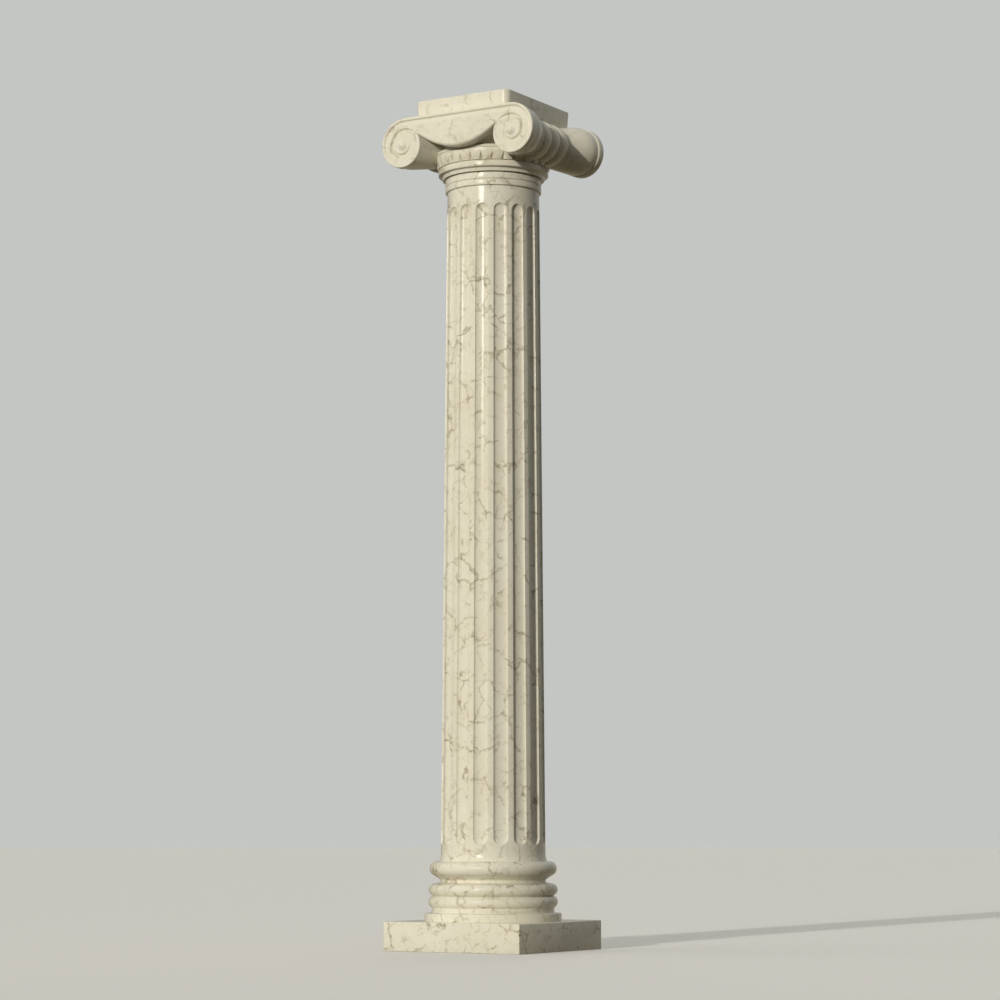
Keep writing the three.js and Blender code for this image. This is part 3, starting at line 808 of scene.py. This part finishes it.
def bolster_sheet(outline, sizes):
    """The skin of both bolsters and of the channel's edges, from the front face to the back one."""
    radii = edge_radii(outline, sizes)
    half = []
    for turn in np.linspace(0, math.pi / 2, EDGE_ROWS + 1):
        loop = drawn_in(outline, radii * (1 - math.sin(turn)))
        half.append(np.column_stack((loop, FACE_DISTANCE - radii * (1 - math.cos(turn)))))
    rim_edge = FACE_DISTANCE - RIM_DEPTH
    belt_end = BELT_BEADS[-1] + BELT_BEAD_HALF_WIDTH
    for y in np.concatenate((
        np.linspace(rim_edge, rim_edge - RIM_SLOPE, RIM_ROWS + 1),
        np.linspace(rim_edge - RIM_SLOPE, belt_end, BELL_ROWS + 1)[1:],
        np.linspace(belt_end, 0, BELT_ROWS + 1)[1:],
    )):
        loop = pinched(outline, y, sizes)
        half.append(np.column_stack((loop, np.full(len(loop), y))))
    half = np.array(half)[:, :, (0, 2, 1)]
    whole = np.concatenate((half, half[-2::-1] * (1, -1, 1)))
    return np.concatenate((whole, whole[:, :1]), axis=1)


def groove(distance, half_width):
    """Depth of a groove, from 0 to 1, at a distance from its middle."""
    return (1 + np.cos(math.pi * np.clip(np.abs(distance) / half_width, 0, 1))) / 2


def step_and_rise(distance, wall, width):
    """Depth, from 0 to 1, of a hollow with a steep outer wall and a long rise to its inner edge."""
    down = smooth_share(distance, -wall / 2, wall / 2)
    up = smooth_share(distance, wall / 2, width)
    return down * (1 - up)


def volute_sheet(edge, sizes):
    """The face of a volute as points of x, z and depth: one strip wound from the top edge in to the eye."""
    turns = math.log(sizes.eye_radius / VOLUTE_RADIUS, VOLUTE_SHRINK_PER_TURN)
    angle = np.arange(math.ceil(turns * POINTS_PER_TURN) + 1)[:, None] * math.tau / POINTS_PER_TURN
    outer = np.maximum(volute_radius(angle), sizes.eye_radius)
    width = outer - np.maximum(outer * VOLUTE_SHRINK_PER_TURN, sizes.eye_radius)
    on_outline = angle <= VOLUTE_OUTLINE_TURN + ANGLE_SLACK
    start = np.where(on_outline, sizes.arris, 0)
    inset = start + (width - start) * np.linspace(0, 1, STRIP_COLUMNS + 1)
    radius = outer - inset
    points = round_eye(radius, angle)
    points[:len(edge), 0] = edge
    beside_rim = np.maximum(width - sizes.rim_width, sizes.rim_wall)
    rim = step_and_rise(inset - sizes.rim_width, sizes.rim_wall, beside_rim)
    depth = sizes.rim_height * rim * (1 - smooth_share(angle, *np.radians(RIM_FADE)))
    for turn in range(WINDING_TURNS):
        wound = angle % math.tau + turn * math.tau
        middle = WINDING_RADIUS * WINDING_SHRINK_PER_TURN ** (wound / math.tau - 1)
        shown = smooth_share(wound, *np.radians(WINDING_START))
        shown = shown * (1 - smooth_share(wound, *np.radians(WINDING_FADE)))
        winding = groove(radius - middle, sizes.winding_width / 2) * shown
        depth = np.maximum(depth, sizes.winding_depth * winding)
    return np.dstack((points, depth))


def eye_sheet(sizes):
    """The low dome in the middle of a volute, as points of x, z and depth."""
    share = np.linspace(1, 0, EYE_ROWS + 1)[:, None]
    angle = np.arange(POINTS_PER_TURN + 1) * math.tau / POINTS_PER_TURN
    radius = sizes.eye_radius * share
    depth = np.broadcast_to(-sizes.eye_rise * (1 - share**2) ** EYE_SOFTNESS, (len(share), len(angle)))
    return np.dstack((round_eye(radius, angle), depth))


def channel_sheets(outline, volute):
    """The face between the volutes: a straight band along the top edge, and the part that sags below it."""
    across = -np.cos(np.linspace(0, math.pi, CHANNEL_COLUMNS + 1))
    start = volute[0]
    band = np.stack(np.broadcast_arrays(EYE_X * across, start[:, 1:2], start[:, 2:]), axis=-1)
    band[0, :, :2] = np.vstack((outline[2 * OUTLINE_POINTS + CHANNEL_COLUMNS:], outline[:1]))
    right = volute[POINTS_PER_TURN:OUTLINE_POINTS - 1:-1, 0, :2]
    left = right * (-1, 1)
    bottom = outline[OUTLINE_POINTS:OUTLINE_POINTS + CHANNEL_COLUMNS + 1][::-1]
    steps = np.linalg.norm(np.diff(right, axis=0), axis=1)
    down = (np.concatenate(((0,), np.cumsum(steps))) / steps.sum())[:, None, None]
    along = ((1 + across) / 2)[None, :, None]
    ruled = (1 - down) * band[-1, :, :2] + down * bottom
    ruled = ruled + (1 - along) * left[:, None] + along * right[:, None]
    corners = (1 - down) * ((1 - along) * left[0] + along * right[0])
    corners = corners + down * ((1 - along) * left[-1] + along * right[-1])
    sagging = ruled - corners
    return [band, np.dstack((sagging, np.zeros(sagging.shape[:2])))]


def scroll_mesh(sizes):
    """Both scrolled faces and the bolsters between them."""
    outline = face_outline()
    edge = drawn_in(outline, edge_radii(outline, sizes))
    volute = volute_sheet(edge[:OUTLINE_POINTS + 1], sizes)
    one_side = [volute, eye_sheet(sizes)]
    other_side = [sheet * (-1, 1, 1) for sheet in one_side]
    face = one_side + other_side + channel_sheets(edge, volute)
    sheets = [bolster_sheet(outline, sizes)]
    for side in (-1, 1):
        for sheet in face:
            distance = side * (FACE_DISTANCE - sheet[..., 2])
            sheets.append(np.stack((sheet[..., 0], distance, sheet[..., 1]), axis=-1))
    return skin("scrolls", *sheets)


def rounded_rectangle(half_x, half_y, corner):
    """A closed outline with round corners."""
    corners = ((1, 1), (-1, 1), (-1, -1), (1, -1))
    points = []
    for quarter, (side_x, side_y) in enumerate(corners):
        angles = np.linspace(0, math.pi / 2, ABACUS_CORNER_FACETS + 1) + quarter * math.pi / 2
        points.append(np.column_stack((
            side_x * (half_x - corner) + corner * np.cos(angles),
            side_y * (half_y - corner) + corner * np.sin(angles))))
    return np.vstack((*points, points[0][:1]))


def abacus_mesh(sizes):
    """The slab on top, with round corners and an eased upper edge."""
    levels = [(SCROLL_TOP - ABACUS_BURIED, ABACUS_LEAN)]
    for turn in np.linspace(0, math.pi / 2, ABACUS_EDGE_ROWS + 1):
        inset = sizes.arris * (1 - math.cos(turn))
        levels.append((CAPITAL_HIGH.z - sizes.arris * (1 - math.sin(turn)), inset))
    rows = []
    for height, inset in levels:
        loop = rounded_rectangle(ABACUS_HALF_X - inset, ABACUS_HALF_Y - inset, ABACUS_CORNER - inset)
        rows.append(np.column_stack((loop, np.full(len(loop), height))))
    underside = rows[0] * (0, 0, 1)
    top = rows[-1] * (0, 0, 1)
    return skin("abacus", [underside, *rows, top])


class IONIC_OT_plinth(bpy.types.Operator):
    """Cut the square plinth"""

    bl_idname = "ionic_column.plinth"
    bl_label = "Plinth"

    def execute(self, context):
        settings = context.scene.ionic_column
        stand_for("plinth", plinth_mesh(settings.plinth), marble_material(settings.marble, "plinth"))
        return {"FINISHED"}


class IONIC_OT_base(bpy.types.Operator):
    """Turn the round base"""

    bl_idname = "ionic_column.base"
    bl_label = "Base"

    def execute(self, context):
        settings = context.scene.ionic_column
        material = marble_material(settings.marble, "base")
        stand_for("base", base_mesh(settings.base, material), material)
        return {"FINISHED"}


class IONIC_OT_shaft(bpy.types.Operator):
    """Carve the fluted shaft"""

    bl_idname = "ionic_column.shaft"
    bl_label = "Shaft"

    def execute(self, context):
        settings = context.scene.ionic_column
        material = marble_material(settings.marble, "shaft")
        stand_for("shaft", shaft_mesh(settings.shaft, material), material)
        return {"FINISHED"}


class IONIC_OT_capital(bpy.types.Operator):
    """Carve the scrolled capital"""

    bl_idname = "ionic_column.capital"
    bl_label = "Capital"

    def execute(self, context):
        settings = context.scene.ionic_column
        sizes = settings.capital
        material = marble_material(settings.marble, "capital")
        mesh = joined("capital", echinus_mesh(sizes, material), scroll_mesh(sizes), abacus_mesh(sizes))
        stand_for("capital", mesh, material)
        return {"FINISHED"}


class IONIC_OT_stage(bpy.types.Operator):
    """Set up the floor, the light and the camera"""

    bl_idname = "ionic_column.stage"
    bl_label = "Stage"

    def execute(self, context):
        look = context.scene.ionic_column.stage
        add_floor(context.scene, look)
        add_surround(context.scene, look)
        for name, strength, spread, azimuth, elevation in (
            ("key", look.key_strength, look.key_spread, look.key_azimuth, look.key_elevation),
            ("fill", look.fill_strength, look.soft_spread, look.fill_azimuth, look.key_elevation),
            ("back", look.back_strength, look.soft_spread, look.back_azimuth, look.key_elevation),
            ("top", look.top_strength, look.soft_spread, 0, math.pi / 2),
        ):
            add_sun(context.scene, name, strength, spread, azimuth, elevation)
        add_camera(context.scene)
        context.scene.view_settings.view_transform = "Standard"
        return {"FINISHED"}


def add_floor(scene, look):
    """A plain pale floor, which throws no light back on the column."""
    disc = bmesh.new()
    bmesh.ops.create_circle(disc, cap_ends=True, segments=FLOOR_SIDES, radius=FLOOR_RADIUS)
    bmesh.ops.translate(disc, vec=(0, 0, PLINTH_LOW.z - FLOOR_GAP), verts=disc.verts)
    mesh = bpy.data.meshes.new("floor")
    disc.to_mesh(mesh)
    disc.free()
    material = bpy.data.materials.new("matt_pale_floor")
    material.use_nodes = True
    paint = material.node_tree.nodes["Principled BSDF"]
    paint.inputs["Base Color"].default_value = look.floor
    paint.inputs["Roughness"].default_value = FLOOR_ROUGHNESS
    mesh.materials.append(material)
    floor = bpy.data.objects.new("floor", mesh)
    floor.visible_diffuse = False
    floor.visible_glossy = False
    scene.collection.objects.link(floor)


def add_surround(scene, look):
    """Soft light from all round, and a plain backdrop that only the camera sees.

    It is cool from above, warm from below and stronger behind; a round lamp near the key gives the glints.
    """
    world = bpy.data.worlds.new("surround")
    world.use_nodes = True
    tree = world.node_tree
    tree.nodes.clear()
    direction = add_node(tree, "ShaderNodeTexCoord").outputs["Object"]
    parts = add_node(tree, "ShaderNodeSeparateXYZ", {0: direction})
    height = add_node(tree, "ShaderNodeMapRange", {
        "Value": parts.outputs["Z"], "From Min": -HORIZON_BLEND, "From Max": HORIZON_BLEND},
        interpolation_type="SMOOTHSTEP").outputs["Result"]
    tint = add_node(tree, "ShaderNodeMix", {
        "Factor": height, "A": look.ground_glow, "B": look.surround}, data_type="RGBA")
    overhead = add_node(tree, "ShaderNodeMapRange", {
        "Value": height, "To Min": look.surround_below, "To Max": look.surround_above})
    behind = add_node(tree, "ShaderNodeMapRange", {
        "Value": parts.outputs["Y"], "From Min": BACK_WALL_START, "From Max": BACK_WALL_END,
        "To Max": look.surround_behind}, interpolation_type="SMOOTHSTEP")
    room = add_node(tree, "ShaderNodeMath", {
        0: overhead.outputs["Result"], 1: behind.outputs["Result"]}, operation="ADD")
    surround = add_node(tree, "ShaderNodeBackground", {
        "Color": tint.outputs["Result"], "Strength": room.outputs[0]})

    azimuth, elevation = look.key_azimuth, look.lamp_elevation
    level = math.cos(elevation)
    towards_lamp = (level * math.sin(azimuth), -level * math.cos(azimuth), math.sin(elevation))
    facing = add_node(tree, "ShaderNodeVectorMath", {0: direction, 1: towards_lamp}, operation="DOT_PRODUCT")
    lamp = add_node(tree, "ShaderNodeMapRange", {
        "Value": facing.outputs["Value"], "From Min": math.cos(look.lamp_width / 2 + LAMP_BLUR),
        "From Max": math.cos(look.lamp_width / 2 - LAMP_BLUR), "To Max": look.lamp_strength})
    glow = add_node(tree, "ShaderNodeBackground", {"Color": look.light, "Strength": lamp.outputs["Result"]})
    lit = add_node(tree, "ShaderNodeAddShader", {0: surround.outputs[0], 1: glow.outputs[0]})

    backdrop = add_node(tree, "ShaderNodeBackground", {"Color": look.backdrop, "Strength": 1})
    path = add_node(tree, "ShaderNodeLightPath")
    seen = add_node(tree, "ShaderNodeMixShader", {
        0: path.outputs["Is Camera Ray"], 1: lit.outputs[0], 2: backdrop.outputs[0]})
    add_node(tree, "ShaderNodeOutputWorld", {"Surface": seen.outputs[0]})
    scene.world = world


def add_sun(scene, name, strength, spread, azimuth, elevation):
    """A far light of a given apparent width; it is kept out of the polish, which mirrors the lamp instead."""
    light = bpy.data.lights.new(name, "SUN")
    light.energy = strength
    light.color = scene.ionic_column.stage.light[:3]
    light.angle = spread
    sun = bpy.data.objects.new(name, light)
    sun.rotation_euler = (math.pi / 2 - elevation, 0, azimuth)
    sun.visible_glossy = False
    scene.collection.objects.link(sun)


def add_camera(scene):
    """The photograph's viewpoint."""
    data = bpy.data.cameras.new("camera")
    data.lens = CAMERA_LENS
    data.sensor_width = CAMERA_SENSOR
    camera = bpy.data.objects.new("camera", data)
    away = (math.sin(CAMERA_AZIMUTH), -math.cos(CAMERA_AZIMUTH))
    camera.location = (CAMERA_DISTANCE * away[0], CAMERA_DISTANCE * away[1], CAMERA_HEIGHT)
    camera.rotation_euler = (math.pi / 2 + CAMERA_PITCH, 0, CAMERA_AZIMUTH + CAMERA_YAW)
    scene.collection.objects.link(camera)
    scene.camera = camera


class IONIC_PT_column(bpy.types.Panel):
    """Sizes, colours and steps of the column"""

    bl_label = "Ionic column"
    bl_space_type = "VIEW_3D"
    bl_region_type = "UI"
    bl_category = "Column"

    def draw(self, context):
        settings = context.scene.ionic_column
        for step in STEPS:
            box = self.layout.box()
            box.operator(step.bl_idname)
            group = getattr(settings, step.bl_idname.split(".")[1])
            for name in group.__annotations__:
                box.prop(group, name)
        for name in settings.marble.__annotations__:
            self.layout.prop(settings.marble, name)


STEPS = (IONIC_OT_plinth, IONIC_OT_base, IONIC_OT_shaft, IONIC_OT_capital, IONIC_OT_stage)
GROUPS = (PlinthSizes, BaseSizes, ShaftSizes, CapitalSizes, MarbleLook, StageLook, ColumnSettings)


def register():
    """Registers the classes and the column's settings."""
    for group in (*GROUPS, *STEPS, IONIC_PT_column):
        bpy.utils.register_class(group)
    bpy.types.Scene.ionic_column = bpy.props.PointerProperty(type=ColumnSettings)


def unregister():
    """Takes the settings and the classes away again."""
    del bpy.types.Scene.ionic_column
    for group in reversed((*GROUPS, *STEPS, IONIC_PT_column)):
        bpy.utils.unregister_class(group)


def main():
    """Builds the column and its stage."""
    register()
    bpy.ops.ionic_column.plinth()
    bpy.ops.ionic_column.base()
    bpy.ops.ionic_column.shaft()
    bpy.ops.ionic_column.capital()
    bpy.ops.ionic_column.stage()


if __name__ == "__main__":
    main()
